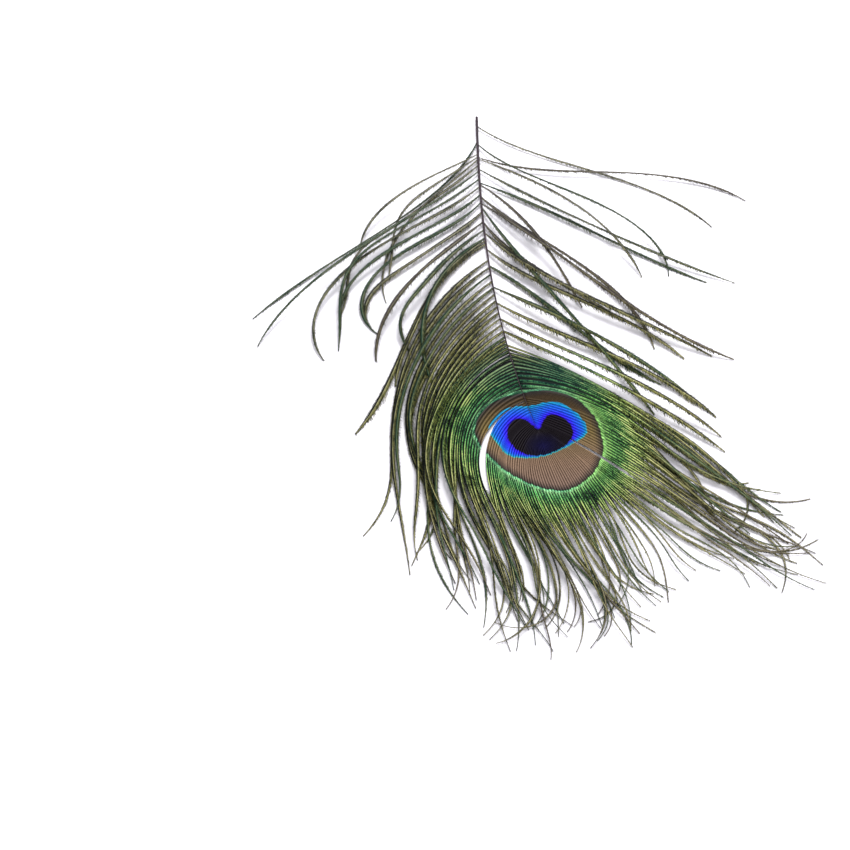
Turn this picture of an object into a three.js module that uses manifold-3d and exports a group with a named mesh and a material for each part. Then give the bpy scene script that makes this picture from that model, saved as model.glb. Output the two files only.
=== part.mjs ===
// A peacock's eye feather, cut from the train, lying on its back on a flat surface.
// Millimetres. The origin is the eye's centre on that surface, +Y runs up the shaft to the
// cut end, +Z is up. The whole feather grew as one piece, so it is one solid.

import * as THREE from 'three';
import { mergeVertices } from 'three/addons/utils/BufferGeometryUtils.js';
import Module from 'manifold-3d';

const wasm = await Module();
wasm.setup();

// Shaft: it runs from the cut end to the notch of the eye's dark heart, leaning to the left.
const CUT_END_Y = 168.5;
const SHAFT_TIP_Y = 2;
const SHAFT_LEAN = 16;
const SHAFT_SWING = 16.8;
const SHAFT_BEND_POWER = 2.7;
const SHAFT_CUT_RADIUS = 0.6;
const SHAFT_TIP_RADIUS = 0.4;
const SHAFT_SIDES = 8;
const SHAFT_STEPS = 22;

// Eye: the closed flat part of the vane, an oval plate as thick as its barbs.
const EYE_HALF_WIDTH = 22;
const EYE_HALF_LENGTH = 24.5;
const EYE_THICKNESS = 1.3;
const EYE_SEGMENTS = 48;

// Loose barbs and locks of barbs: widths and heights of the three-sided blades.
const BARB_WIDTH = 1.7;
const LOCK_WIDTH = 3.2;
const TIP_WIDTH = 0.5;
const BLADE_HEIGHT = 0.9;
const BLADE_STEPS = 7;
const FINE_STEPS = 12;
const LOCK_PITCH = 3.9;
const LOCK_CLEARANCE = 0.15;
const MOST_LIFT = 5;
const LIFT_SPREAD = 0.8;
const EYE_STATIONS = 4;
const LIFT_STARTS = 22;
const LIFT_FULL = 47;

// One row for each guiding barb: how far up the shaft it is rooted (mm), the angle at which it
// leaves, measured from straight out towards the feather's tip (degrees), its length (mm), and
// how far it turns over its length, evenly and then growing towards the tip (degrees).
const RIGHT_BARBS = [
  [163, 49, 101, -102, 113],
  [152, 59, 101, -128, 163],
  [144, 31, 100, -132, 149],
  [143, 33, 87, 15, 29],
  [137, 43, 106, -14, 0],
  [129, 30, 93, 30, -29],
  [128, 47, 74, 48, -23],
  [121, 56, 98, -61, 89],
  [117, 44, 114, 35, -50],
  [115, 68, 116, -25, 23],
  [107, 68, 69, -75, 54],
  [101, 58, 96, -68, 50],
  [92, 54, 84, -82, 84],
  [83, 40, 79, 47, -49],
  [72, 34, 79, 3, 13],
  [64, 41, 87, -46, 61],
  [56, 40, 87, -35, 49],
  [50, 35, 87, -6, 22],
];
const LEFT_BARBS = [
  [154, 74, 125, -95, 76],
  [146, 42, 71, -33, 81],
  [143, 55, 88, -24, 74],
  [136, 53, 120, -50, 70],
  [127, 53, 113, -87, 153],
  [118, 60, 86, -126, 200],
  [107, 51, 82, -16, 60],
  [98, 41, 86, 83, -13],
  [95, 39, 103, 114, -93],
];

// The barbs of the closed vane, down the left side of the eye and up its right side.
const LEFT_VANE = [
  [86, 44, 137, 91, -42],
  [75, 46, 139, 86, -35],
  [65, 48, 122, 60, 9],
  [56, 45, 128, 99, -40],
  [47, 43, 120, 85, 0],
  [40, 35, 122, 160, -93],
  [35, 31, 112, 180, -110],
  [28, 26, 117, 249, -194],
  [22, 27, 117, 266, -218],
  [17, 26, 96, 242, -174],
  [16.5, 30, 95, 245, -188],
  [11, 33, 94, 264, -233],
  [7.5, 33, 100, 337, -350],
  [4, 53, 93, 208, -172],
];
const RIGHT_VANE = [
  [3, 113, 90, -163, 137],
  [3, 100, 88, -117, 103],
  [4, 78, 83, -4, -25],
  [4, 62, 77, 42, -43],
  [4, 50, 74, 59, -41],
  [5, 36, 80, 102, -78],
  [6, 44, 86, 32, -41],
  [7, 31, 103, 63, -64],
  [8, 27, 102, 67, -68],
  [12, 20, 109, 104, -104],
  [18, 8, 110, 162, -152],
  [22, 0, 83, 132, -68],
  [29, 0, 110, 200, -200],
  [37, 19, 115, 68, -25],
  [45, 30, 117, 39, -14],
];

const GOLDEN = 0.618034;

function shaftPoint(y) {
  const x = SHAFT_SWING * (1 - y / CUT_END_Y) ** SHAFT_BEND_POWER - SHAFT_LEAN;
  const radius = THREE.MathUtils.mapLinear(y, 0, CUT_END_Y, SHAFT_TIP_RADIUS, SHAFT_CUT_RADIUS);
  return { x, y, radius };
}

// A closed solid through rings of points, each ring given from the left, round the top.
function loft(rings) {
  const sides = rings[0].length;
  const position = rings.flat().flatMap((point) => point.toArray());
  const index = [];
  for (let i = 0; i + 1 < rings.length; i += 1) {
    for (let j = 0; j < sides; j += 1) {
      const a = i * sides + j;
      const b = i * sides + ((j + 1) % sides);
      index.push(a, b, a + sides, b, b + sides, a + sides);
    }
  }
  const last = (rings.length - 1) * sides;
  for (let j = 1; j + 1 < sides; j += 1) {
    index.push(0, j + 1, j);
    index.push(last, last + j, last + j + 1);
  }
  const geometry = new THREE.BufferGeometry();
  geometry.setAttribute('position', new THREE.Float32BufferAttribute(position, 3));
  geometry.setIndex(index);
  return geometry;
}

function shaft() {
  const rings = [];
  for (let i = 0; i <= SHAFT_STEPS; i += 1) {
    const { x, y, radius } = shaftPoint(THREE.MathUtils.lerp(CUT_END_Y, SHAFT_TIP_Y, i / SHAFT_STEPS));
    const ring = [];
    for (let j = 0; j < SHAFT_SIDES; j += 1) {
      const turn = ((j + 0.5) / SHAFT_SIDES) * 2 * Math.PI;
      const side = radius * Math.cos(turn);
      const height = radius * Math.sin(turn);
      ring.push(new THREE.Vector3(x + side, y, radius + LOCK_CLEARANCE + height));
    }
    rings.push(ring);
  }
  return loft(rings);
}

// The line of a barb on the surface, from its root on the shaft to its tip.
function barbLine([root, lead, length, bend, curl], side) {
  const steps = BLADE_STEPS * FINE_STEPS;
  const point = new THREE.Vector2(shaftPoint(root).x, root);
  const line = [point.clone()];
  for (let i = 0; i < steps; i += 1) {
    const t = (i + 0.5) / steps;
    const heading = THREE.MathUtils.degToRad(lead + bend * t + curl * t * t);
    point.x += (side * Math.cos(heading) * length) / steps;
    point.y -= (Math.sin(heading) * length) / steps;
    if ((i + 1) % FINE_STEPS === 0) line.push(point.clone());
  }
  return line;
}

// A barb or a lock: a three-sided blade that lifts off the surface and comes down at its tip.
// It leans towards the feather's tip by as much as it lifts.
function blade(line, width, lift) {
  const rings = line.map((point, i) => {
    const t = i / BLADE_STEPS;
    const before = line[Math.max(i - 1, 0)];
    const after = line[Math.min(i + 1, BLADE_STEPS)];
    const across = new THREE.Vector3(before.y - after.y, after.x - before.x, 0).normalize();
    const beyondEye = THREE.MathUtils.smoothstep(point.length(), LIFT_STARTS, LIFT_FULL);
    const rise = lift * Math.sin(Math.PI * t) ** LIFT_SPREAD * beyondEye;
    const base = LOCK_CLEARANCE + rise;
    const half = THREE.MathUtils.lerp(width, TIP_WIDTH, t ** 2) / 2;
    const height = THREE.MathUtils.lerp(BLADE_HEIGHT, TIP_WIDTH, t ** 2);
    const middle = new THREE.Vector3(point.x, point.y - rise, base);
    return [
      middle.clone().addScaledVector(across, half),
      middle.clone().setZ(base + height),
      middle.clone().addScaledVector(across, -half),
    ];
  });
  return loft(rings);
}

// The lines of the vane's locks: as many between two guiding lines as their widest gap takes.
function lockLines(guides) {
  const lines = [];
  for (let i = 0; i + 1 < guides.length; i += 1) {
    const next = guides[i + 1];
    const gaps = guides[i].slice(0, EYE_STATIONS).map((point, k) => point.distanceTo(next[k]));
    const count = Math.max(1, Math.round(Math.max(...gaps) / LOCK_PITCH));
    for (let k = 0; k < count; k += 1) {
      lines.push(guides[i].map((point, j) => point.clone().lerp(next[j], k / count)));
    }
  }
  lines.push(guides.at(-1));
  return lines;
}

function eye() {
  const outline = new THREE.Shape();
  outline.absellipse(0, 0, EYE_HALF_WIDTH, EYE_HALF_LENGTH, 0, 2 * Math.PI);
  return new THREE.ExtrudeGeometry(outline, {
    depth: EYE_THICKNESS,
    bevelEnabled: false,
    curveSegments: EYE_SEGMENTS,
  });
}

function solid(geometry) {
  const plain = geometry.clone();
  plain.deleteAttribute('normal');
  plain.deleteAttribute('uv');
  const merged = mergeVertices(plain, 1e-5);
  return new wasm.Manifold(new wasm.Mesh({
    numProp: 3,
    vertProperties: merged.attributes.position.array,
    triVerts: Uint32Array.from(merged.index.array),
  }));
}

function geometryOf(manifold) {
  const mesh = manifold.getMesh();
  const geometry = new THREE.BufferGeometry();
  geometry.setAttribute('position', new THREE.BufferAttribute(mesh.vertProperties, 3));
  geometry.setIndex(new THREE.BufferAttribute(mesh.triVerts, 1));
  geometry.computeVertexNormals();
  return geometry;
}

// Crossing locks close in small pockets. They are filled: only the outer skin is kept.
function outerSkin(manifold) {
  const skins = manifold.decompose();
  return skins.reduce((largest, skin) => (skin.volume() > largest.volume() ? skin : largest));
}

function feather() {
  const linesOf = (rows, side) => rows.map((row) => barbLine(row, side));
  const barbs = [...linesOf(RIGHT_BARBS, 1), ...linesOf(LEFT_BARBS, -1)];
  const locks = lockLines([...linesOf(LEFT_VANE, -1), ...linesOf(RIGHT_VANE, 1)]);
  const lift = (i) => MOST_LIFT * ((i * GOLDEN) % 1);
  let whole = solid(eye()).add(solid(shaft()));
  barbs.forEach((line, i) => {
    whole = whole.add(solid(blade(line, BARB_WIDTH, lift(i))));
  });
  locks.forEach((line, i) => {
    whole = whole.add(solid(blade(line, LOCK_WIDTH, lift(i))));
  });
  return geometryOf(outerSkin(whole));
}

const barbGreen = new THREE.MeshStandardMaterial({ color: '#5f6b34', roughness: 0.5, metalness: 0.3 });

const featherMesh = new THREE.Mesh(feather(), barbGreen);
featherMesh.name = 'feather';

const group = new THREE.Group();
group.add(featherMesh);

export default group;
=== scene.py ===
# %% [markdown]
# # A peacock's eye feather
#
# The feather is one natural thing: a thin shaft, and barbs that grow from both of its sides.
# Each barb is a stem with a fringe of fine barbules. High on the shaft the barbs stand apart.
# Round the shaft's end they lie edge to edge and make the closed eye, and past the eye they
# come loose again and hang together in locks. This lesson grows all of it from a short list of
# guiding barbs. The CAD solid holds the same guides, so everything falls into its place.

# %% Load the frame
import math

import bpy
import numpy as np
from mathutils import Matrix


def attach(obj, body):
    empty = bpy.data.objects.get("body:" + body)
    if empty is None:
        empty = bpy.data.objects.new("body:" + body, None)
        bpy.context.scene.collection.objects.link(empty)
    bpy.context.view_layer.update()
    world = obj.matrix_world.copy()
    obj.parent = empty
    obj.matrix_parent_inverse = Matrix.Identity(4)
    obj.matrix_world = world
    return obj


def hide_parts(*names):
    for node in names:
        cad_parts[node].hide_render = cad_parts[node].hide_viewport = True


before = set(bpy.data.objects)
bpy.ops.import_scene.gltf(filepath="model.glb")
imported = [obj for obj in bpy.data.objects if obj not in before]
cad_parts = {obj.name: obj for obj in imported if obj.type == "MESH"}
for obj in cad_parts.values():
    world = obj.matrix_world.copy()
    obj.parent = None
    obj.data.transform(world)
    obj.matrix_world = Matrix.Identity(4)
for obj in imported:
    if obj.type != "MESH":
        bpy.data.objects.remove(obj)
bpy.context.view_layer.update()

MM = 0.001

# %% [markdown]
# ## Camera
#
# A feather on a table is best seen from halfway up. A long lens from 60 cm away keeps the
# shaft's far end from shrinking too much. The camera could be aimed with a constraint, but one
# turn about X is all it needs, because it looks straight along +Y and down.

# %% Add the camera
VIEW_ANGLE = math.radians(25)
LOOK_DOWN = math.radians(45)
CAMERA_HEIGHT = 426 * MM
AIM_X = -35.3 * MM
AIM_Y = 7.0 * MM

camera_data = bpy.data.cameras.new("camera")
camera_data.angle = VIEW_ANGLE
camera = bpy.data.objects.new("camera", camera_data)
camera.location = (AIM_X, AIM_Y - CAMERA_HEIGHT / math.tan(LOOK_DOWN), CAMERA_HEIGHT)
camera.rotation_euler = (math.pi / 2 - LOOK_DOWN, 0, 0)
bpy.context.collection.objects.link(camera)
bpy.context.scene.camera = camera
print("camera at", tuple(round(value, 3) for value in camera.location))

# %% [markdown]
# ## The shaft's line
#
# The shaft leans to the left and swings back to the eye. A power curve gives that in one
# formula: straight at the cut end, and bending more and more towards the tip. Everything that
# grows from the shaft asks this formula for its place.

# %% The shaft's line, in millimetres
CUT_END_Y = 168.5
SHAFT_TIP_Y = 2.0
SHAFT_LEAN = 16.0
SHAFT_SWING = 16.8
SHAFT_BEND_POWER = 2.7
SHAFT_TAPER_POWER = 0.7
SHAFT_CUT_RADIUS = 0.5
SHAFT_TIP_RADIUS = 0.05
ROOT_HEIGHT = 1.0


def shaft_x(y):
    """How far to the side the shaft lies at a place y along the feather."""
    return SHAFT_SWING * (1 - y / CUT_END_Y) ** SHAFT_BEND_POWER - SHAFT_LEAN


def shaft_radius(y):
    """Half its thickness there."""
    taper = (y / CUT_END_Y) ** SHAFT_TAPER_POWER
    return SHAFT_TIP_RADIUS + (SHAFT_CUT_RADIUS - SHAFT_TIP_RADIUS) * taper


print("the shaft leans", round(shaft_x(CUT_END_Y), 1), "mm to the left at its cut end")

# %% [markdown]
# ## Guiding barbs
#
# Drawing all 158 barbs by hand would take days, and growing them at random would look like a
# brush. The way between is to set down the barbs that give the feather its outline, and to
# fill in the rest between them. A barb is a line whose direction turns smoothly, so five numbers
# hold one: how far up the shaft it is rooted (mm), the angle at which it leaves, from straight
# out towards the feather's tip (degrees), its length (mm), and how far it turns over its length,
# evenly and then growing towards the tip (degrees).

# %% The loose barbs, from the cut end down
RIGHT, LEFT = 1, -1

RIGHT_BARBS = [
    [163, 49, 101, -102, 113],
    [152, 59, 101, -128, 163],
    [144, 31, 100, -132, 149],
    [143, 33, 87, 15, 29],
    [137, 43, 106, -14, 0],
    [129, 30, 93, 30, -29],
    [128, 47, 74, 48, -23],
    [121, 56, 98, -61, 89],
    [117, 44, 114, 35, -50],
    [115, 68, 116, -25, 23],
    [107, 68, 69, -75, 54],
    [101, 58, 96, -68, 50],
    [92, 54, 84, -82, 84],
    [83, 40, 79, 47, -49],
    [72, 34, 79, 3, 13],
    [64, 41, 87, -46, 61],
    [56, 40, 87, -35, 49],
    [50, 35, 87, -6, 22],
]
LEFT_BARBS = [
    [154, 74, 125, -95, 76],
    [146, 42, 71, -33, 81],
    [143, 55, 88, -24, 74],
    [136, 53, 120, -50, 70],
    [127, 53, 113, -87, 153],
    [118, 60, 86, -126, 200],
    [107, 51, 82, -16, 60],
    [98, 41, 86, 83, -13],
    [95, 39, 103, 114, -93],
]

# %% The barbs of the closed vane, down one side of the eye and up the other
LEFT_VANE = [
    [86, 44, 137, 91, -42],
    [75, 46, 139, 86, -35],
    [65, 48, 122, 60, 9],
    [56, 45, 128, 99, -40],
    [47, 43, 120, 85, 0],
    [40, 35, 122, 160, -93],
    [35, 31, 112, 180, -110],
    [28, 26, 117, 249, -194],
    [22, 27, 117, 266, -218],
    [17, 26, 96, 242, -174],
    [16.5, 30, 95, 245, -188],
    [11, 33, 94, 264, -233],
    [7.5, 33, 100, 337, -350],
    [4, 53, 93, 208, -172],
]
RIGHT_VANE = [
    [3, 113, 90, -163, 137],
    [3, 100, 88, -117, 103],
    [4, 78, 83, -4, -25],
    [4, 62, 77, 42, -43],
    [4, 50, 74, 59, -41],
    [5, 36, 80, 102, -78],
    [6, 44, 86, 32, -41],
    [7, 31, 103, 63, -64],
    [8, 27, 102, 67, -68],
    [12, 20, 109, 104, -104],
    [18, 8, 110, 162, -152],
    [22, 0, 83, 132, -68],
    [29, 0, 110, 200, -200],
    [37, 19, 115, 68, -25],
    [45, 30, 117, 39, -14],
]

# %% Turn a row into a line
LINE_STEPS = 90


def barb_line(row, side, reach=1.0):
    """Points along a barb in the feather's plane. A reach above 1 runs on past its tip."""
    root, lead, length, bend, curl = row
    t = reach * (np.arange(LINE_STEPS) + 0.5) / LINE_STEPS
    heading = np.radians(lead + bend * t + curl * t ** 2)
    step = np.stack([side * np.cos(heading), -np.sin(heading)], axis=1) * reach * length / LINE_STEPS
    start = np.array([[shaft_x(root), root]])
    return np.concatenate([start, start + np.cumsum(step, axis=0)])


print(len(LEFT_VANE) + len(RIGHT_VANE), "guides round the eye")

# %% [markdown]
# ## The barbs between the guides
#
# Between two guides lie as many barbs as fit at the real spacing: 1 mm at the eye's lower edge,
# 2 mm over its shoulders, and almost 4 mm where the vane opens up the shaft. Inside the eye they
# spread evenly. Further out a few neighbours at a time draw together, and that parts the skirt
# into locks with gaps between. Real barbs are never combed: each one sways, a few stray across
# the others, and many tips curl. Turning the steps of a line does all three and keeps every barb
# at its length.

# %% Sizes of the filling
EYE_PITCH = 0.95
SHOULDER_PITCH = 1.1
OPEN_PITCH = 1.7
SHOULDER = (4, 26)
OPEN_VANE = (40, 62)
EYE_STATIONS = 36
LOCK_SIZE = 3.0
LOCK_PULL = 0.85
PULL_PLAY = (0.6, 1.2)
PULL_GROWS = (0.28, 0.75)
LOCK_SWAY = math.radians(8)
BARB_SWAY = math.radians(5)
STRAY_SHARE = 0.16
STRAY_SWAY = math.radians(15)
SWAY_TURNS = (0.7, 1.6)
SWAY_GROWS = (0.25, 0.8)
CURL = math.radians(42)
CURL_STARTS = 0.68
PAST_THE_TIP = 1.05
SHORTEST = 0.84

# Two slits part the vane. The wide one lies between two guides, the fine one beside a guide,
# and its two barbs are pushed a little apart (mm).
WIDE_SLIT = (LEFT, 17)
FINE_SLIT = (RIGHT, 7)
PUSHED_APART = {WIDE_SLIT: 0.0, FINE_SLIT: 0.95}


# %% Helpers that bend and shorten lines
rng = np.random.default_rng(7)
t_line = np.linspace(0, 1, LINE_STEPS + 1)


def smooth(low, high, value):
    """0 below low, 1 above high, and a soft step between them."""
    s = np.clip((value - low) / (high - low), 0, 1)
    return s * s * (3 - 2 * s)


def normals(line):
    """Directions square to a line, to its left."""
    along = np.gradient(line, axis=0)
    along /= np.linalg.norm(along, axis=1, keepdims=True)
    return np.stack([-along[:, 1], along[:, 0]], axis=1)


def shortened(line, end):
    """The line up to a part of its length, with as many points as before."""
    t = t_line * end
    return np.stack([np.interp(t, t_line, line[:, k]) for k in (0, 1)], axis=1)


def turned(line, angle):
    """The line with each of its steps turned by an angle."""
    step = np.diff(line, axis=0)
    sideways = np.stack([-step[:, 1], step[:, 0]], axis=1)
    step = step * np.cos(angle[1:, None]) + sideways * np.sin(angle[1:, None])
    return np.concatenate([line[:1], line[:1] + np.cumsum(step, axis=0)])


def sway(amount):
    """Angles of a slow swing from side to side that grows past the eye."""
    phase = rng.uniform(0, 2 * math.pi)
    turns = rng.uniform(*SWAY_TURNS)
    swing = np.sin(2 * math.pi * turns * t_line + phase)
    return rng.normal(0, amount) * smooth(*SWAY_GROWS, t_line) * swing


def barb_pitch(root):
    """Spacing of the barbs (mm), wider over the eye's shoulders and again in the open vane."""
    return EYE_PITCH + SHOULDER_PITCH * smooth(*SHOULDER, root) + OPEN_PITCH * smooth(*OPEN_VANE, root)


# %% Fill in the vane
guides = [(row, LEFT) for row in LEFT_VANE] + [(row, RIGHT) for row in RIGHT_VANE]
lines = [barb_line(row, side, PAST_THE_TIP) for row, side in guides]
strands, roots, sides, slits = [], [], [], {}
for (row, side), (next_row, _), a, b in zip(guides, guides[1:], lines, lines[1:]):
    widest = np.linalg.norm(a - b, axis=1)[:EYE_STATIONS].max()
    count = max(1, round(widest / barb_pitch((row[0] + next_row[0]) / 2)))
    if (side, row[0]) == WIDE_SLIT:
        count = 1
    locks = max(1, round(count / LOCK_SIZE))
    lock_sways = [sway(LOCK_SWAY) for lock in range(locks)]
    for k in range(count):
        lock = k * locks // count
        pull = LOCK_PULL * rng.uniform(*PULL_PLAY) * smooth(*PULL_GROWS, t_line) * (count > 1)
        part = k / count + ((lock + 0.5) / locks - k / count) * pull
        line = a + (b - a) * part[:, None]
        stray = STRAY_SWAY if rng.uniform() < STRAY_SHARE else BARB_SWAY
        curl = rng.normal(0, CURL) * smooth(CURL_STARTS, 1.0, t_line)
        line = turned(line, lock_sways[lock] + sway(stray) + curl)
        strands.append(shortened(line, rng.uniform(SHORTEST, 1.0)))
        roots.append(row[0] + (next_row[0] - row[0]) * k / count)
        sides.append(side)
        if k == 0 and (side, row[0]) in (WIDE_SLIT, FINE_SLIT):
            slits[side, row[0]] = len(strands) - 1
strands, roots, sides = np.array(strands), np.array(roots), np.array(sides)
print(len(strands), "barbs in the vane, slits after barbs", list(slits.values()))

# %% [markdown]
# ## The eye's zones
#
# The eye is a picture made of colour bands that stop at the same place on each barb. Painting
# it would take an image. Here three smooth outlines hold it instead: the dark heart, the blue
# round it, and the bronze disc. Each point of the mesh stores how far it lies outside each
# outline, and the materials turn those distances into colours. A little play from barb to barb
# gives the edges the fine steps of the real ones.

# %% Outlines of the zones, in millimetres round the eye's centre
HEART = [
    (-9.7, 1.5), (-9.3, 5.3), (-7.5, 8.3), (-5, 8.9), (-2.5, 6.9), (0.2, 4.1), (1.5, 6.8), (3.7, 10.5),
    (6.6, 10.4), (9.6, 7.7), (10.9, 3), (9.6, -1.4), (6.3, -4.7), (0.9, -7.3), (-4.4, -6.8), (-8, -3.4),
]
BLUE = [
    (-15.4, 3.5), (-14, 8), (-10.8, 12.3), (-6.5, 14.3), (-2.6, 14.4), (0.5, 15.3), (4, 16.2),
    (8, 15.4), (12.2, 11.6), (15, 6.8), (15.2, 2.4), (12, -1.3), (7.6, -4.5), (1.5, -7.8),
    (-4.5, -8.6), (-9.4, -7.5), (-12.9, -2.5),
]
BRONZE = [
    (-19.8, 3.5), (-18.4, 9.7), (-14.2, 15.8), (-8, 19.4), (-1.4, 21), (5, 21.5), (11.7, 18.6),
    (17, 11.8), (19.6, 3.3), (19.6, -6.5), (16, -15), (9.5, -21.2), (3.5, -22), (-4, -19),
    (-10.5, -13.9), (-15.5, -7.5), (-18.8, -1.5),
]
print("outlines of", len(HEART), len(BLUE), "and", len(BRONZE), "points")

# %% Round the outlines off, and measure how far a point lies from them
CURVE_STEPS = 5


def closed_curve(points):
    """A smooth closed line through the points (Catmull-Rom)."""
    p = np.array(points, float)
    before, after, beyond = np.roll(p, 1, 0), np.roll(p, -1, 0), np.roll(p, -2, 0)
    pieces = []
    for t in np.arange(CURVE_STEPS) / CURVE_STEPS:
        pieces.append(0.5 * (2 * p + (after - before) * t
                             + (2 * before - 5 * p + 4 * after - beyond) * t ** 2
                             + (3 * p - before - 3 * after + beyond) * t ** 3))
    return np.stack(pieces, axis=1).reshape(-1, 2)


def distance_outside(points, outline):
    """How far each point lies outside a closed line, negative inside it."""
    nearest = np.full(len(points), np.inf)
    inside = np.zeros(len(points), bool)
    x, y = points[:, 0], points[:, 1]
    for a, b in zip(outline, np.roll(outline, -1, 0)):
        edge = b - a
        rel = points - a
        t = np.clip(rel @ edge / (edge @ edge), 0, 1)
        nearest = np.minimum(nearest, np.linalg.norm(rel - t[:, None] * edge, axis=1))
        crosses = (a[1] > y) != (b[1] > y)
        if edge[1]:
            inside ^= crosses & (x < a[0] + edge[0] * (y - a[1]) / edge[1])
    return np.where(inside, -nearest, nearest)


zones = {"heart": closed_curve(HEART), "blue": closed_curve(BLUE), "bronze": closed_curve(BRONZE)}
print("the bronze disc is", round(np.ptp(zones["bronze"][:, 0]), 1), "mm wide")

# %% [markdown]
# ## From lines to barbs
#
# A barb is a stem with a web of barbules on both sides, wider on the side towards the feather's
# tip. The stem with its web could be a bevelled curve, but a curve can't carry a colour zone at
# each point. So its rings are built as arrays and joined into one mesh. In the eye the web is as
# wide as the space between neighbours, which closes the vane. Outside it shrinks to a narrow
# band along the stem, and loose barbules reach past it on both sides.

# %% How broad a barb is, in millimetres
EYE_BARB = 1.2
SHOULDER_ADDS = 0.7
OPEN_VANE_ADDS = 0.8
CUT_END_TAKES = 1.3
CUT_END = (95, 155)
NARROW_BASE = 0.5
NARROW_BASE_FROM = (35, 60)
TWIST = 0.15


def barb_width(roots, taper):
    """Full width of a barb with its barbules: broad in the open vane, narrow at the cut end."""
    broad = EYE_BARB + SHOULDER_ADDS * smooth(*SHOULDER, roots) + OPEN_VANE_ADDS * smooth(*OPEN_VANE, roots)
    broad = broad - CUT_END_TAKES * smooth(*CUT_END, roots)
    base = 1 - NARROW_BASE * smooth(*NARROW_BASE_FROM, roots)[:, None] * (1 - smooth(0, 0.15, t_line))
    return broad[:, None] * base * taper


def twist(count):
    """A barb turns a little on its stem, so its web shows now broader and now narrower."""
    phase = rng.uniform(0, 2 * math.pi, (count, 1))
    turns = rng.uniform(1, 2.5, (count, 1))
    return 1 - TWIST + TWIST * np.sin(phase + turns * 2 * math.pi * t_line)


def distances(lines, outline):
    """How far every point of each line lies outside an outline."""
    return distance_outside(lines.reshape(-1, 2), outline).reshape(lines.shape[:2])


print("a barb of the open vane is", round(barb_width(np.array([70]), 1.0).max(), 1), "mm broad")

# %% Past the eye the barbs beside the wide slit draw together again
SLIT_CLOSES = (3.0, 18.0)
SLIT_NEIGHBOURS = 7

beside_slit = slits[WIDE_SLIT]
apart = strands[beside_slit + 1] - strands[beside_slit]
closing = smooth(*SLIT_CLOSES, distance_outside(strands[beside_slit], zones["bronze"]))
for k in range(SLIT_NEIGHBOURS):
    shift = 0.5 * (1 - k / SLIT_NEIGHBOURS) * closing[:, None] * apart
    strands[beside_slit - k] += shift
    strands[beside_slit + 1 + k] -= shift
to_bronze = distances(strands, zones["bronze"])
to_blue = distances(strands, zones["blue"])
print("the wide slit is up to", round(np.linalg.norm(apart, axis=1)[:EYE_STATIONS].max(), 1), "mm wide")

# %% Web widths: edge to edge in the eye, a narrow band outside it
TIP_WIDTH = 0.24
NEAR_WEB, FAR_WEB = 0.2, 0.38
THINNER_BY = 0.35
THINNER_FROM = (0.45, 0.8)
FINE_TIPS = {LEFT: 0.48, RIGHT: 0.32}
TIP_FROM = (0.82, 1.0)
OVERLAP = 0.58
NARROWEST_HALF, WIDEST_HALF = 0.12, 1.3
CLOSED_TO = (2.0, 16.0)
CLOSED_SHOULDER = (28, 46)
SHOULDER_BASE = (0.15, 0.45)


def spacing(lines):
    """Distance from each barb to its wider neighbour, square to the barb."""
    across = np.stack([normals(line) for line in lines])
    step = np.abs(np.einsum("kij,kij->ki", lines[1:] - lines[:-1], across[:-1]))
    step[slits[WIDE_SLIT]] = 0
    return np.maximum(np.vstack([step[:1], step]), np.vstack([step, step[-1:]]))


inside_eye = 1 - smooth(*CLOSED_TO, to_bronze)
on_shoulder = (1 - smooth(*CLOSED_SHOULDER, roots))[:, None] * (1 - smooth(*SHOULDER_BASE, t_line))
inside_eye = np.maximum(inside_eye, on_shoulder)
closed_half = np.clip(OVERLAP * spacing(strands), NARROWEST_HALF, WIDEST_HALF)
fine_tips = np.array([FINE_TIPS[side] for side in sides])[:, None]
vane_taper = 1 - THINNER_BY * smooth(*THINNER_FROM, t_line) - fine_tips * smooth(*TIP_FROM, t_line)
width = barb_width(roots, vane_taper) * twist(len(strands))
near_half, far_half = (np.maximum(share * width, TIP_WIDTH / 2) + (closed_half - share * width) * inside_eye
                       for share in (NEAR_WEB, FAR_WEB))
print("the widest web in the eye is", round(2 * closed_half.max(), 2), "mm")

# %% Open the slits: the two webs beside each one are cut back to their stems
SLIT_HALF = 0.06
SLIT_LENGTH = 16.0
SLIT_FADES = 8.0
OPEN_IN_BLUE, OPEN_IN_BRONZE = 0.8, 0.2
BLUE_RIM = (-2.5, -1)
PAST_BLUE = (0, 1.5)

for name, i in slits.items():
    apart = strands[i + 1] - strands[i]
    apart *= PUSHED_APART[name] / np.maximum(np.linalg.norm(apart, axis=1, keepdims=True), TIP_WIDTH)
    for strand, half, push in ((i, far_half if sides[i] == LEFT else near_half, -apart),
                               (i + 1, near_half if sides[i] == LEFT else far_half, apart)):
        opening = OPEN_IN_BLUE * smooth(*BLUE_RIM, to_blue[strand])
        opening += OPEN_IN_BRONZE * smooth(*PAST_BLUE, to_blue[strand])
        opening *= 1 - smooth(SLIT_LENGTH - SLIT_FADES, SLIT_LENGTH, to_bronze[strand])
        half[strand] += (SLIT_HALF - half[strand]) * opening
        strands[strand] += push * opening[:, None]
print("slits opened:", len(slits))

# %% Lift the skirt: it leaves the shaft at its height, arches, and comes down at its tips
SKIRT_LIFT = 3.0
SURFACE_GAP = 0.3
ARCH_POWER = 0.8
SETTLES_FROM = (0.3, 1.0)

arch = np.sin(math.pi * t_line) ** ARCH_POWER
settling = ROOT_HEIGHT + (SURFACE_GAP - ROOT_HEIGHT) * smooth(*SETTLES_FROM, t_line)
lift = SKIRT_LIFT * rng.uniform(0, 1, len(strands)) ** 1.5
rise = lift[:, None] * arch * smooth(0, 30, to_bronze)
vane_height = settling + rise
strands[..., 1] -= rise
print("the skirt rises up to", round(rise.max(), 1), "mm")

# %% Fill in the loose barbs: on the left one more grows halfway between two guides
FILLED_UP_TO = 150

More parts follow.
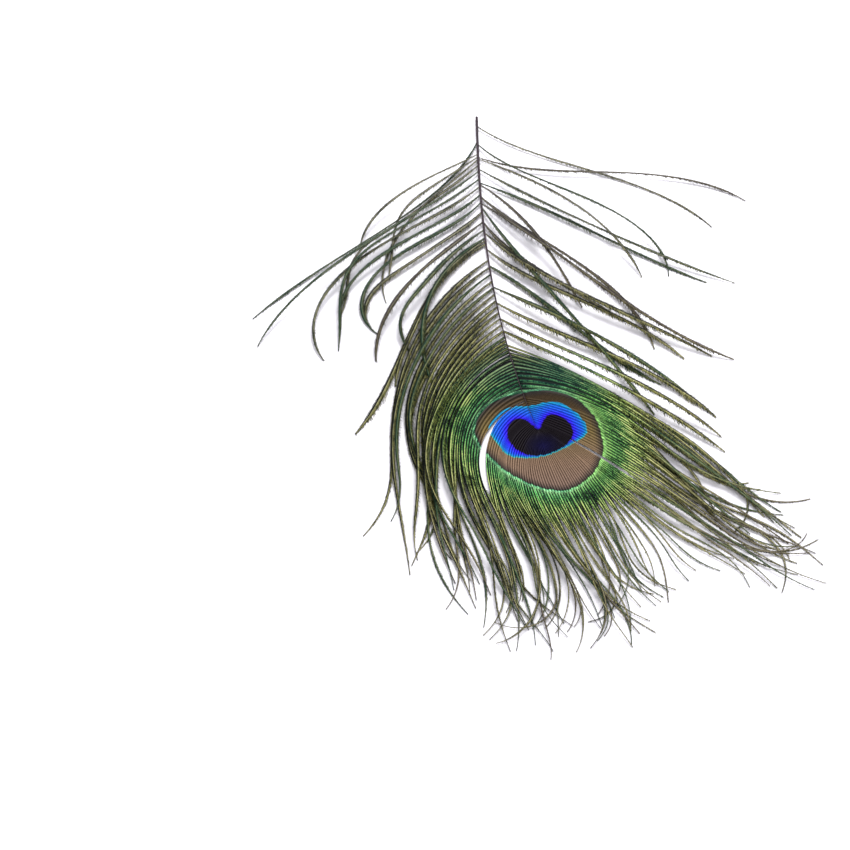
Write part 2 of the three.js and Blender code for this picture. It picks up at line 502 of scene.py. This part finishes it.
loose_rows = [(row, RIGHT) for row in RIGHT_BARBS] + [(row, LEFT) for row in LEFT_BARBS]
loose = [barb_line(row, side) for row, side in loose_rows]
loose_sides = [side for row, side in loose_rows]
loose_roots = [row[0] for row, side in loose_rows]
for i in range(len(RIGHT_BARBS), len(loose_rows) - 1):
    upper, lower = loose_roots[i], loose_roots[i + 1]
    if upper < FILLED_UP_TO:
        halfway = turned((loose[i] + loose[i + 1]) / 2, sway(STRAY_SWAY))
        loose.append(shortened(halfway, rng.uniform(SHORTEST, 1.0)))
        loose_sides.append(LEFT)
        loose_roots.append((upper + lower) / 2)
loose, loose_sides, loose_roots = np.array(loose), np.array(loose_sides), np.array(loose_roots)

# %% The loose barbs get their widths and heights in the same way
# Steps of the golden ratio give neighbours very different heights without chance.
MOST_LIFT = 5.0
GOLDEN = 0.618034
LOOSE_TIPS = 0.65
LOOSE_TIP_FROM = (0.86, 1.0)

loose_taper = 1 - LOOSE_TIPS * smooth(*LOOSE_TIP_FROM, t_line)
loose_width = barb_width(loose_roots, loose_taper) * twist(len(loose))
loose_lift = MOST_LIFT * (np.arange(len(loose)) * GOLDEN % 1)
rise = loose_lift[:, None] * arch
loose_height = settling + rise
loose[..., 1] -= rise
print(len(loose), "loose barbs rise up to", round(rise.max(), 1), "mm")

# %% Build meshes from arrays
def mesh_piece(name, vertices, faces, attributes):
    """One object from vertices in millimetres, three- or four-sided faces, and point values."""
    mesh = bpy.data.meshes.new(name)
    corners = faces.shape[1]
    mesh.vertices.add(len(vertices))
    mesh.vertices.foreach_set("co", (vertices * MM).astype(np.float32).ravel())
    mesh.loops.add(faces.size)
    mesh.loops.foreach_set("vertex_index", faces.astype(np.int32).ravel())
    mesh.polygons.add(len(faces))
    mesh.polygons.foreach_set("loop_start", np.arange(0, faces.size, corners, dtype=np.int32))
    for key, values in attributes.items():
        layer = mesh.attributes.new(key, "FLOAT", "POINT")
        layer.data.foreach_set("value", values.astype(np.float32).ravel())
    mesh.update(calc_edges=True)
    bake_map = mesh.uv_layers.new(name="OFBake")
    flat_map = vertices[faces.ravel()][:, :2]
    flat_map = (flat_map - vertices.min(axis=0)[:2]) / np.ptp(vertices, axis=0).max()
    bake_map.uv.foreach_set("vector", flat_map.astype(np.float32).ravel())
    piece = bpy.data.objects.new(name, mesh)
    bpy.context.collection.objects.link(piece)
    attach(piece, "root")
    print(f"{name}: {len(faces) * (corners - 2)} triangles")
    return piece


# %% Faces for rings of four points
def ring_faces(count, stations):
    """Four-sided faces along the rings of each barb, with a lid on both of its ends."""
    corner = np.arange(4)
    beside = (corner + 1) % 4
    base = (np.arange(count)[:, None] * stations + np.arange(stations - 1))[..., None] * 4
    first = np.arange(count)[:, None] * stations * 4
    last = first + (stations - 1) * 4
    walls = np.stack([base + corner, base + beside, base + beside + 4, base + corner + 4], axis=-1)
    return np.concatenate([walls.reshape(-1, 4), first + corner[::-1], last + corner])


# %% Webs: four-sided rings with the stem as a ridge above and a keel below
RIDGE = 0.16
KEEL = 0.12
DROOP = 0.3
ZONE_PLAY = 0.12
LOWEST = 0.02
ACROSS = np.array([-1.0, 0.0, 1.0, 0.0])


def webs(name, lines, near, far, height, tones, sides):
    """near and far are the half widths towards the cut end and towards the feather's tip."""
    count, stations = near.shape
    right = (sides == RIGHT)[:, None]
    left_hand = np.stack([normals(line) for line in lines])
    ring = np.zeros((count, stations, 4, 3))
    ring[..., :2] = lines[:, :, None]
    ring[:, :, 0, :2] += left_hand * np.where(right, near, far)[..., None]
    ring[:, :, 2, :2] -= left_hand * np.where(right, far, near)[..., None]
    ring[..., 2] = height[..., None]
    ring[..., 1, 2] += np.minimum(RIDGE, far)
    ring[..., 0, 2] -= np.where(right, 0, DROOP * far)
    ring[..., 2, 2] -= np.where(right, DROOP * far, 0)
    ring[..., 3, 2] -= np.minimum(KEEL, far) + 0.5 * DROOP * far
    ring[..., 2] = np.maximum(ring[..., 2], LOWEST)
    vertices = ring.reshape(-1, 3)
    points = vertices[:, :2]
    play = np.repeat(rng.normal(0, ZONE_PLAY, count), stations * 4)
    run = np.linalg.norm(np.diff(lines, axis=1), axis=2).cumsum(axis=1)
    run = np.concatenate([np.zeros((count, 1)), run], axis=1)
    values = {key: distance_outside(points, outline) + play for key, outline in zones.items()}
    values["across"] = np.repeat(np.where(right, ACROSS, -ACROSS), stations, axis=0)
    values["under"] = np.tile([0.0, 0.0, 0.0, 1.0], count * stations)
    values["run"] = np.repeat(run.ravel(), 4)
    values["tone"] = np.repeat(tones, stations * 4)
    return mesh_piece(name, vertices, ring_faces(count, stations), values)


# %% [markdown]
# ## Barbules
#
# Every web ends in a fringe: the tips of hundreds of barbules, slanting towards the barb's tip.
# They could be hair particles, but hair is lost when a model is saved for other programs. So
# each barbule is a closed sliver of four faces, placed along the line by arrays. On the side
# towards the feather's tip they are longer, and that gives a barb its toothed lower edge.

# %% A sliver: two corners at the stem, and two over each other at its end
BARBULE_BASE = 0.13
BARBULE_TIP = 0.06
BARBULE_LIFT = 0.05
TETRA = np.array([[0, 1, 3], [1, 2, 3], [2, 0, 3], [0, 2, 1]])


def slivers(centre, forward, end, end_height, turn):
    """The corners of a sliver at each centre, in the order that turns its faces outwards."""
    corners = np.zeros((len(centre), 4, 3))
    corners[:, 0, :2] = centre[:, :2] + forward * BARBULE_BASE
    corners[:, 1, :2] = centre[:, :2] - forward * BARBULE_BASE
    corners[:, 2, :2] = end - forward * BARBULE_TIP
    corners[:, 3, :2] = end + forward * BARBULE_TIP
    corners[:, :2, 2] = centre[:, 2, None] + BARBULE_LIFT
    corners[:, 2, 2] = end_height - BARBULE_TIP
    corners[:, 3, 2] = end_height + BARBULE_TIP
    if turn > 0:
        corners[:, [0, 1]] = corners[:, [1, 0]]
    return corners.reshape(-1, 3)


# %% Slivers along the lines
BARBULE_PITCH = 0.22
BARBULE_SLANT = math.radians(42)
BARBULE_DROOP = 0.2
PITCH_PLAY = 0.15
SLANT_PLAY = 0.15
CLUMP = 2
CLUMP_REACH = (0.6, 1.25)
OWN_REACH = (0.85, 1.1)


def barbules(name, lines, near, far, height, tones, sides, first_t):
    """Two rows of slivers on each line, from first_t on. near and far are their reach sideways."""
    keys = ("bronze", "reach", "tipside", "tone", "flick")
    vertices, values = [], {key: [] for key in keys}
    for k, line in enumerate(lines):
        run = np.concatenate([[0], np.linalg.norm(np.diff(line, axis=0), axis=1).cumsum()])
        spots = np.arange(np.interp(first_t[k], t_line, run), run[-1], BARBULE_PITCH)
        if not len(spots):
            continue
        t = np.interp(spots + rng.uniform(-PITCH_PLAY, PITCH_PLAY, len(spots)), run, t_line)
        centre = np.stack([np.interp(t, t_line, value) for value in (*line.T, height[k])], axis=1)
        forward = np.gradient(centre[:, :2], axis=0) if len(spots) > 1 else np.ones((1, 2))
        forward /= np.linalg.norm(forward, axis=1, keepdims=True)
        for tipside, reach in ((1, far[k]), (0, near[k])):
            turn = -sides[k] if tipside else sides[k]
            across = turn * np.stack([-forward[:, 1], forward[:, 0]], axis=1)
            slant = BARBULE_SLANT + rng.normal(0, SLANT_PLAY, len(t))
            out = forward * np.cos(slant)[:, None] + across * np.sin(slant)[:, None]
            clumped = np.repeat(rng.uniform(*CLUMP_REACH, len(t) // CLUMP + 1), CLUMP)[:len(t)]
            size = np.interp(t, t_line, reach) * clumped
            size = size * rng.uniform(*OWN_REACH, len(t)) / np.sin(slant)
            end = centre[:, :2] + out * size[:, None]
            end_height = centre[:, 2] - BARBULE_DROOP * size * rng.uniform(0.2, 1, len(t))
            vertices.append(slivers(centre, forward, end, end_height, turn))
            values["bronze"].append(np.repeat(distance_outside(centre[:, :2], zones["bronze"]), 4))
            values["reach"].append(np.tile([0.0, 0.0, 1.0, 1.0], len(t)))
            values["tipside"].append(np.full(4 * len(t), float(tipside)))
            values["tone"].append(np.full(4 * len(t), tones[k]))
            values["flick"].append(np.repeat(rng.uniform(0, 1, len(t)), 4))
    vertices = np.concatenate(vertices)
    vertices[:, 2] = np.maximum(vertices[:, 2], LOWEST)
    faces = (np.arange(len(vertices) // 4)[:, None, None] * 4 + TETRA).reshape(-1, 3)
    values = {key: np.concatenate(value) for key, value in values.items()}
    return mesh_piece(name, vertices, faces, values)


# %% Make the vane
NEAR_REACH, FAR_REACH = 0.4, 0.7
CLOSED_ENOUGH = 0.35
vane_tones = rng.uniform(0, 1, len(strands))
closed = inside_eye > CLOSED_ENOUGH
last_closed = LINE_STEPS - np.argmax(closed[:, ::-1], axis=1)
first_t = np.where(closed.any(axis=1), t_line[last_closed], 0.0)

web_pieces, fringe_pieces = [], []
for number, chosen in enumerate(np.array_split(np.arange(len(strands)), 4), 1):
    line, wide = strands[chosen], width[chosen]
    shared = (vane_height[chosen], vane_tones[chosen], sides[chosen])
    web_pieces.append(webs(f"vane_webs_{number}", line, near_half[chosen], far_half[chosen], *shared))
    fringe_pieces.append(barbules(f"vane_barbules_{number}", line, NEAR_REACH * wide, FAR_REACH * wide,
                                  *shared, first_t[chosen]))

# %% Make the loose barbs
loose_tones = rng.uniform(0, 1, len(loose))
web_pieces.append(webs("loose_webs", loose, NEAR_WEB * loose_width, FAR_WEB * loose_width,
                       loose_height, loose_tones, loose_sides))
fringe_pieces.append(barbules("loose_barbules", loose, NEAR_REACH * loose_width, FAR_REACH * loose_width,
                              loose_height, loose_tones, loose_sides, np.zeros(len(loose))))

# %% [markdown]
# ## The shaft
#
# The shaft is a horn tube that tapers to a hair. It could be a curve with a round profile, but
# a mesh can also show how it was cut: the round end face is inset and pushed in a little, and
# the pale pith appears. Then the rim is extruded step by step along the shaft's line. Each step
# moves the open end on and makes it smaller, and a last face closes it.

# %% Model the shaft
SHAFT_STEPS = 40
HORN_WALL = 0.14
PITH_DEPTH = 0.25
HORN_SLOT, PITH_SLOT = 0, 1


def deselect_all():
    """An operator acts on everything that is selected, so this comes before each new piece."""
    for thing in bpy.context.selected_objects:
        thing.select_set(False)


deselect_all()
shaft_y = np.linspace(CUT_END_Y, SHAFT_TIP_Y, SHAFT_STEPS + 1)
bpy.ops.mesh.primitive_circle_add(
    vertices=12, radius=shaft_radius(CUT_END_Y) * MM, fill_type="NGON",
    location=(shaft_x(CUT_END_Y) * MM, CUT_END_Y * MM, ROOT_HEIGHT * MM), rotation=(math.pi / 2, 0, 0))
shaft = bpy.context.object
shaft.name = "shaft"
bpy.ops.object.transform_apply(location=True, rotation=True, scale=True)
for slot in (HORN_SLOT, PITH_SLOT):
    bpy.ops.object.material_slot_add()
bpy.ops.object.mode_set(mode="EDIT")
bpy.ops.mesh.select_all(action="SELECT")
bpy.ops.mesh.inset(thickness=HORN_WALL * MM)
shaft.active_material_index = PITH_SLOT
bpy.ops.object.material_slot_assign()
bpy.ops.mesh.extrude_region_move(TRANSFORM_OT_translate={"value": (0, -PITH_DEPTH * MM, 0)})
bpy.ops.mesh.select_all(action="DESELECT")
bpy.ops.mesh.select_non_manifold()
for y0, y1 in zip(shaft_y, shaft_y[1:]):
    move = ((shaft_x(y1) - shaft_x(y0)) * MM, (y1 - y0) * MM, 0)
    bpy.ops.mesh.extrude_region_move(TRANSFORM_OT_translate={"value": move})
    shrink = shaft_radius(y1) / shaft_radius(y0)
    bpy.ops.transform.resize(value=(shrink, 1, shrink),
                             center_override=(shaft_x(y1) * MM, y1 * MM, ROOT_HEIGHT * MM))
bpy.ops.mesh.edge_face_add()
bpy.ops.mesh.select_all(action="SELECT")
bpy.ops.mesh.normals_make_consistent(inside=False)
bpy.ops.object.mode_set(mode="OBJECT")
bpy.ops.object.shade_smooth_by_angle(angle=math.radians(50))
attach(shaft, "root")
print("shaft:", len(shaft.data.polygons), "faces")

# %% [markdown]
# ## Materials
#
# A feather's blues and greens aren't dyes. Fine layers in the barbules throw one colour back,
# over a dark brown pigment, and the eye sees strong colour with a soft, slightly metallic gloss.
# The zones could be painted on an image, but an image blurs from close by. Here colour ramps
# run over the stored distances, and coats of colour are laid over each other through masks, as
# a painter glazes. Distances from an outline are in millimetres, places in metres.

# %% Colours and nodes
def linear(hex_colour):
    """An sRGB hex value as the linear RGBA that the shader takes."""
    parts = [int(hex_colour[i:i + 2], 16) / 255 for i in (1, 3, 5)]
    parts = [c / 12.92 if c <= 0.04045 else ((c + 0.055) / 1.055) ** 2.4 for c in parts]
    return (*parts, 1.0)


def add(tree, kind, settings, inputs, output=0):
    """Add a node, set its properties, feed its inputs by values or links, return one output."""
    node = tree.nodes.new(kind)
    for key, value in settings.items():
        setattr(node, key, value)
    for key, value in inputs.items():
        if isinstance(value, bpy.types.NodeSocket):
            tree.links.new(value, node.inputs[key])
        else:
            node.inputs[key].default_value = value
    return node.outputs[output]


# %% Colours along a value, masks, and coats laid over each other
EVERYWHERE = (1.0, 0.0, 1.0)


def colours_along(tree, value, low, high, stops):
    """Colours along a value. The stops are (value, hex) pairs."""
    scaled = add(tree, "ShaderNodeMapRange", {}, {0: value, 1: low, 2: high})
    colours = add(tree, "ShaderNodeValToRGB", {}, {0: scaled})
    elements = colours.node.color_ramp.elements
    elements[0].position, elements[0].color = (stops[0][0] - low) / (high - low), linear(stops[0][1])
    elements[1].position, elements[1].color = (stops[-1][0] - low) / (high - low), linear(stops[-1][1])
    for place, colour in stops[1:-1]:
        elements.new((place - low) / (high - low)).color = linear(colour)
    return colours


def where_all(tree, *ranges):
    """A mask that is full where each value has gone from its start to its full mark."""
    mask = 1.0
    for value, start, full in ranges:
        part = add(tree, "ShaderNodeMapRange", {}, {0: value, 1: start, 2: full})
        mask = add(tree, "ShaderNodeMath", {"operation": "MULTIPLY"}, {0: part, 1: mask})
    return mask


def coats(tree, colour, *layers):
    """Lay coats over a colour: (value, start, full, coat), then a strength and a way of mixing."""
    for value, start, full, coat, *more in layers:
        strength, blend = more or (1.0, "MIX")
        mask = add(tree, "ShaderNodeMapRange", {}, {0: value, 1: start, 2: full, 4: strength})
        mixed = {"data_type": "RGBA", "blend_type": blend}
        colour = add(tree, "ShaderNodeMix", mixed, {0: mask, 6: colour, 7: coat}, 2)
    return colour


# %% A finish to start from
def new_finish(name, roughness, metallic, specular):
    """A material with its tree and its shader."""
    material = bpy.data.materials.new(name)
    material.use_nodes = True
    shader = material.node_tree.nodes["Principled BSDF"]
    shader.inputs["Roughness"].default_value = roughness
    shader.inputs["Metallic"].default_value = metallic
    shader.inputs["Specular IOR Level"].default_value = specular
    return material, material.node_tree, shader


# %% [markdown]
# ## Keratin that shines: the webs
#
# Both webs and barbules are keratin, the stuff of hair and nails, grown in layers. That gives
# them a satin gloss, a little metallic, with no sharp highlights. Painted glints are noise laid
# along each barb, in its own coordinates, because the glints of a real feather follow its barbs too.

# %% Flecks: noise drawn out along a barb
# A long streak is 7 / 1.3 = 5 mm long and a spark 1.2 / 2.6 = 0.5 mm, which is about the length
# of a barbule. Painted patches of light cover several barbs and are about 1000 / 190 = 5 mm wide.
LONG_STREAK = (7.0, 1.3)
SPARK = (1.2, 2.6)
PATCH_SCALE = 190.0
OWN_NOISE = 90.0


def flecks(tree, at, stretch, scale):
    """Noise from 0 to 1 along a barb, and different on each barb."""
    own = add(tree, "ShaderNodeMath", {"operation": "MULTIPLY"}, {0: at["tone"], 1: OWN_NOISE})
    place = add(tree, "ShaderNodeCombineXYZ", {}, {0: at["run"], 1: at["across"], 2: own})
    place = add(tree, "ShaderNodeMapping", {}, {"Vector": place, "Scale": (1 / stretch, 1.0, 1.0)})
    noise = add(tree, "ShaderNodeTexNoise", {}, {"Vector": place, "Scale": scale, "Detail": 2.0})
    return add(tree, "ShaderNodeMapRange", {}, {0: noise, 1: 0.36, 2: 0.64})


# %% The eye: dark heart, blue with its turquoise rim, and bronze
MIDDLE_OF_HEART = (0.0015, -0.0035, 0.001)


def eye_zones(tree, at, place, height, sparks):
    """The colours of the heart, of the blue and of the bronze."""
    from_middle = add(tree, "ShaderNodeVectorMath", {"operation": "DISTANCE"},
                      {0: place, 1: MIDDLE_OF_HEART}, "Value")
    heart = colours_along(tree, from_middle, 0, 0.008,
                          [(0, "#0c0938"), (0.003, "#0b0826"), (0.0065, "#110c12")])
    grain = colours_along(tree, sparks, 0, 1, [(0, "#b4b4b8"), (0.4, "#f0f0f2"), (1, "#ffffff")])
    rim = coats(tree, linear("#38a898"), (height, -0.001, 0.006, linear("#1490b8")))
    blue = colours_along(tree, at["heart"], 0, 7,
                         [(0, "#3014c4"), (0.7, "#2c24dc"), (1.8, "#2046d4"), (3.2, "#1c5ccc"),
                          (5, "#1860b4")])
    blue = coats(tree, blue,
                 (at["blue"], -1.5, -0.1, linear("#1088b4")),
                 (at["blue"], -0.6, -0.1, rim),
                 (*EVERYWHERE, grain, 0.8, "MULTIPLY"))
    bronze = colours_along(tree, height, -0.022, 0.022,
                           [(-0.022, "#7e685c"), (-0.010, "#826a56"), (0.004, "#6e5e36"),
                            (0.014, "#4a3c28"), (0.022, "#33291c")])
    bronze = coats(tree, bronze,
                   (*EVERYWHERE, grain, 0.6, "MULTIPLY"),
                   (at["bronze"], -2.6, 0.0, linear("#2c2a2a")))
    return heart, blue, bronze


# %% How light or dark each spot of the green is painted
def light_level(tree, at, place, to_the_right, painted_shade_side, sparks):
    """Painted glints from flecks and patches, and the barb's own tone, with painted shade by the
    ring on the side away from the lamp, and darker in a band past the ring on the right."""
    streaks = flecks(tree, at, *LONG_STREAK)
    # Painted glints: noise patches of light about 5 mm wide over several barbs
    patches = add(tree, "ShaderNodeTexNoise", {}, {"Vector": place, "Scale": PATCH_SCALE, "Detail": 1.0})
    patches = add(tree, "ShaderNodeMapRange", {}, {0: patches, 1: 0.38, 2: 0.62})
    # Painted shade: darker near the ring on the side away from the lamp
    shade_by_the_ring = where_all(tree, (at["bronze"], 14, 5), (painted_shade_side, 0, 1))
    past_the_ring = where_all(tree, (at["bronze"], 2.2, 3.4), (at["bronze"], 9, 5),
                              (to_the_right, 0.002, 0.014))
    level = 0.0
    for value, weight in ((streaks, 0.4), (sparks, 0.4), (patches, 0.18), (at["tone"], 0.2),
                          (shade_by_the_ring, -0.14), (past_the_ring, -0.17)):
        level = add(tree, "ShaderNodeMath", {"operation": "MULTIPLY_ADD"}, {0: value, 1: weight, 2: level})
    return level


# %% The green of the vane: a mint ring round the eye, then gold, olive and brown
def vane_green(tree, at, level, height, to_the_right):
    """Painted shade, body and painted highlight by the level, and a painted golden highlight right of the
    ring.
    """
    bronze = at["bronze"]
    # Painted light: the level blends painted shade, the body colour and a painted highlight
    shade = colours_along(tree, bronze, 0, 80,
                          [(0, "#1a4a3a"), (4, "#0a281a"), (10, "#102014"), (20, "#1c2216"),
                           (40, "#26261c"), (80, "#2c2c26")])
    body = colours_along(tree, bronze, 0, 80,
                         [(0, "#2a6048"), (0.5, "#62b47e"), (1.1, "#9cda98"), (1.8, "#7cd084"),
                          (3.2, "#62bc72"), (6, "#78c66a"), (10, "#90b860"), (16, "#8c9458"),
                          (26, "#8a8a58"), (45, "#8c8862"), (80, "#8a8872")])
    painted_highlight = colours_along(tree, bronze, 0, 80,
                           [(0, "#7ed898"), (1.1, "#c4ffb4"), (3, "#a4ff94"), (6, "#e6ff98"),
                            (10, "#ecff9c"), (16, "#dedc94"), (30, "#ccc68a"), (80, "#bcb89c")])
    # Painted highlight: a golden glint on the right of the ring, the side towards the lamp
    golden = coats(tree, linear("#2c5c1c"), (level, 0, 1, linear("#aee05c")))
    teal = coats(tree, linear("#164440"), (level, 0, 1, linear("#5cb09a")))
    lamp_side_of_ring = where_all(tree, (to_the_right, 0.006, 0.018), (bronze, 6, 2))
    shoulders = where_all(tree, (height, 0.018, 0.034), (bronze, 20, 8))
    return coats(tree, shade,
                 (level, 0.2, 0.5, body),
                 (level, 0.5, 0.76, painted_highlight),
                 (lamp_side_of_ring, 0, 1, golden, 0.6, "MIX"),
                 (shoulders, 0, 1, teal))


# %% The stem: a dark line along each barb; past the ring painted shade takes it to the web's near edge
def with_stem_and_near_shade(tree, at, colour):
    """The colour with the stem laid over it, and past the ring painted shade over the near web. The near
    edge is the one towards the cut end.
    """
    bronze = at["bronze"]
    stem = colours_along(tree, bronze, 0, 80,
                         [(0, "#103424"), (2, "#04100e"), (12, "#050c0e"), (30, "#0e1214"),
                          (80, "#1a1a1a")])
    # Painted shade: past the ring the dark line widens from the stem over the web's near side
    edge = add(tree, "ShaderNodeMapRange", {}, {0: bronze, 1: 3.0, 2: 14.0, 3: -0.7, 4: -1.2})
    past_edge = add(tree, "ShaderNodeMath", {"operation": "SUBTRACT"}, {0: at["across"], 1: edge})
    on_stem_or_near_shade = where_all(tree, (past_edge, -0.12, 0.1), (at["across"], 0.28, 0.06), (bronze, 0.4, 1.2))
    return coats(tree, colour, (on_stem_or_near_shade, 0, 1, stem))


# %% No two barbs are alike: past the eye some throw back teal, others show their brown pigment
def of_its_own(tree, at, colour):
    """The colour with a glaze that only some barbs have, by their tone."""
    teal = where_all(tree, (at["tone"], 0.34, 0.22), (at["bronze"], 8, 24))
    brown = where_all(tree, (at["tone"], 0.74, 0.84), (at["bronze"], 24, 45))
    return coats(tree, colour,
                 (teal, 0, 1, linear("#30563f"), 0.5, "MIX"),
                 (brown, 0, 1, linear("#54464a"), 0.5, "MIX"))


# %% Put the web's colours together
AWAY_FROM_LAMP = (-0.7, 0.7, 0)


def web_material():
    """Iridescent keratin, satin: zones of colour, and a dull brown underside."""
    material, tree, shader = new_finish("iridescent_web", roughness=0.42, metallic=0.2, specular=0.05)
    names = ("heart", "blue", "bronze", "run", "tone", "across", "under")
    at = {name: add(tree, "ShaderNodeAttribute", {"attribute_name": name}, {}, "Fac") for name in names}
    place = add(tree, "ShaderNodeTexCoord", {}, {}, "Object")
    height = add(tree, "ShaderNodeSeparateXYZ", {}, {0: place}, "Y")
    to_the_right = add(tree, "ShaderNodeSeparateXYZ", {}, {0: place}, "X")
    sparks = flecks(tree, at, *SPARK)
    # Painted shade: a mask for the side of the feather away from the lamp, which darkens the green below
    away = add(tree, "ShaderNodeVectorMath", {"operation": "DOT_PRODUCT"},
               {0: place, 1: AWAY_FROM_LAMP}, "Value")
    painted_shade_side = where_all(tree, (away, -0.008, 0.018))

    heart, blue, bronze = eye_zones(tree, at, place, height, sparks)
    level = light_level(tree, at, place, to_the_right, painted_shade_side, sparks)
    green = vane_green(tree, at, level, height, to_the_right)
    green = of_its_own(tree, at, with_stem_and_near_shade(tree, at, green))
    # Painted shade: the green is darkened on the side away from the lamp
    green = coats(tree, green, (painted_shade_side, 0, 1, linear("#cccecc"), 1.0, "MULTIPLY"))

    # Painted shade: each web is darkened towards both edges, where neighbouring barbs meet, less in the eye
    edge_shade = colours_along(tree, at["across"], -1, 1,
                          [(-1, "#8a8a8a"), (-0.5, "#ffffff"), (0.7, "#ffffff"), (1, "#9a9a9a")])
    edge_shade_depth = add(tree, "ShaderNodeMapRange", {}, {0: at["bronze"], 1: -1.0, 2: 2.0, 3: 0.25, 4: 0.7})
    colour = coats(tree, bronze,
                   (at["bronze"], -0.12, 0.12, green),
                   (at["blue"], 0.1, -0.1, blue),
                   (at["heart"], 0.15, -0.15, heart),
                   (edge_shade_depth, 0, 1, edge_shade, 1.0, "MULTIPLY"),
                   (at["under"], 0.1, 0.5, linear("#2a2420")))
    tree.links.new(colour, shader.inputs["Base Color"])
    return material


# %% The barbules: dark at the stem, golden green outside it
def barbule_material():
    """Iridescent keratin in slivers: some flash with painted glints, some stay dark, and the near side is
    darker with painted shade.
    """
    material, tree, shader = new_finish("iridescent_barbules", roughness=0.45, metallic=0.2, specular=0.1)
    names = ("bronze", "reach", "tipside", "tone", "flick")
    at = {name: add(tree, "ShaderNodeAttribute", {"attribute_name": name}, {}, "Fac") for name in names}
    painted_highlight = colours_along(tree, at["bronze"], 0, 90,
                           [(0, "#55b45e"), (8, "#92b854"), (16, "#a6a85e"), (30, "#aeaa6a"),
                            (60, "#aca67a"), (90, "#a8a48a")])
    dark = colours_along(tree, at["bronze"], 0, 90,
                         [(0, "#174a34"), (8, "#1c3624"), (25, "#343c2e"), (90, "#3c4440")])
    # Painted shade and glints: the near row is darkened, some barbules flash in the highlight colour, a few
    # in pale gold
    lit_side = add(tree, "ShaderNodeMapRange", {}, {0: at["tipside"], 3: 0.45})
    glint_flash = coats(tree, dark, (at["flick"], 0.35, 0.6, painted_highlight))
    colour = coats(tree, dark,
                   (lit_side, 0, 1, glint_flash),
                   (at["flick"], 0.85, 1.0, linear("#b0ac6c")),
                   (at["reach"], 0.45, 0.0, linear("#1c2820")))
    tree.links.new(of_its_own(tree, at, colour), shader.inputs["Base Color"])
    return material


# %% [markdown]
# ## Horn and pith
#
# The shaft is plain horn, dark and dull on such a thin end, with fibres along it. The pith
# inside is dry foam, pale and without gloss. Real fibres and foam cells are far below a tenth of
# a millimetre, so both patterns are drawn coarser than they are, or they wouldn't show.

# %% The shaft's materials
FIBRE_SCALE = 900.0
FIBRE_STRETCH = (1, 0.06, 1)
FOAM_SCALE = 6000.0


def horn_material():
    """Horn, grown smooth: fibres drawn 1 mm wide and 18 mm long."""
    material, tree, shader = new_finish("dark_horn", roughness=0.5, metallic=0.0, specular=0.2)
    place = add(tree, "ShaderNodeTexCoord", {}, {}, "Object")
    place = add(tree, "ShaderNodeMapping", {}, {"Vector": place, "Scale": FIBRE_STRETCH})
    fibres = add(tree, "ShaderNodeTexNoise", {}, {"Vector": place, "Scale": FIBRE_SCALE, "Detail": 3.0})
    colour = colours_along(tree, fibres, 0, 1, [(0.3, "#20161c"), (0.7, "#3a2a33")])
    tree.links.new(colour, shader.inputs["Base Color"])
    return material


def pith_material():
    """Pith, cut: foam cells drawn 0.2 mm wide."""
    material, tree, shader = new_finish("pale_pith", roughness=0.9, metallic=0.0, specular=0.5)
    place = add(tree, "ShaderNodeTexCoord", {}, {}, "Object")
    cells = add(tree, "ShaderNodeTexNoise", {}, {"Vector": place, "Scale": FOAM_SCALE, "Detail": 2.0})
    colour = colours_along(tree, cells, 0, 1, [(0.35, "#a89c8c"), (0.65, "#d8cfc0")])
    tree.links.new(colour, shader.inputs["Base Color"])
    return material


# %% Put the materials on
web_finish, barbule_finish = web_material(), barbule_material()
for piece in web_pieces:
    piece.data.materials.append(web_finish)
for piece in fringe_pieces:
    piece.data.materials.append(barbule_finish)
shaft.data.materials[HORN_SLOT] = horn_material()
shaft.data.materials[PITH_SLOT] = pith_material()
for piece in web_pieces + fringe_pieces + [shaft]:
    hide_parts("feather")
print("materials:", ", ".join(sorted(material.name for material in bpy.data.materials if material.users)))

# %% [markdown]
# ## Floor and light
#
# Thin dark barbs read best on a pale floor in soft light. A white world fills every shadow, and
# one large lamp behind the feather lays the faint shadows in front of the barbs.

# %% The floor: a large white card, matt, so the shadows on it stay soft
FLOOR_SIZE = 6.0

deselect_all()
bpy.ops.mesh.primitive_plane_add(size=FLOOR_SIZE)
floor = bpy.context.object
floor.name = "floor"
card, _, card_shader = new_finish("white_card", roughness=0.9, metallic=0.0, specular=0.5)
card_shader.inputs["Base Color"].default_value = linear("#f7f6fa")
floor.data.materials.append(card)
print("a floor of", round(floor.dimensions.x, 1), "m")

# %% The lamp behind the feather, and the white room
LAMP_POWER = 9
LAMP_SIZE = 0.5
LAMP_PLACE = (0.15, 0.55, 0.8)
LAMP_TILT = math.radians(-34)
LAMP_TURN = math.radians(10)
ROOM_LIGHT = (0.97, 0.955, 1.0, 1)
ROOM_STRENGTH = 0.9

lamp_data = bpy.data.lights.new("softbox", "AREA")
lamp_data.energy = LAMP_POWER
lamp_data.size = LAMP_SIZE
lamp = bpy.data.objects.new("softbox", lamp_data)
lamp.location = LAMP_PLACE
lamp.rotation_euler = (LAMP_TILT, LAMP_TURN, 0)
bpy.context.collection.objects.link(lamp)

world = bpy.data.worlds.new("white_room")
world.use_nodes = True
world.node_tree.nodes["Background"].inputs["Color"].default_value = ROOM_LIGHT
world.node_tree.nodes["Background"].inputs["Strength"].default_value = ROOM_STRENGTH
bpy.context.scene.world = world
bpy.context.scene.view_settings.view_transform = "Standard"
print("lamp of", LAMP_POWER, "W,", LAMP_SIZE, "m wide")
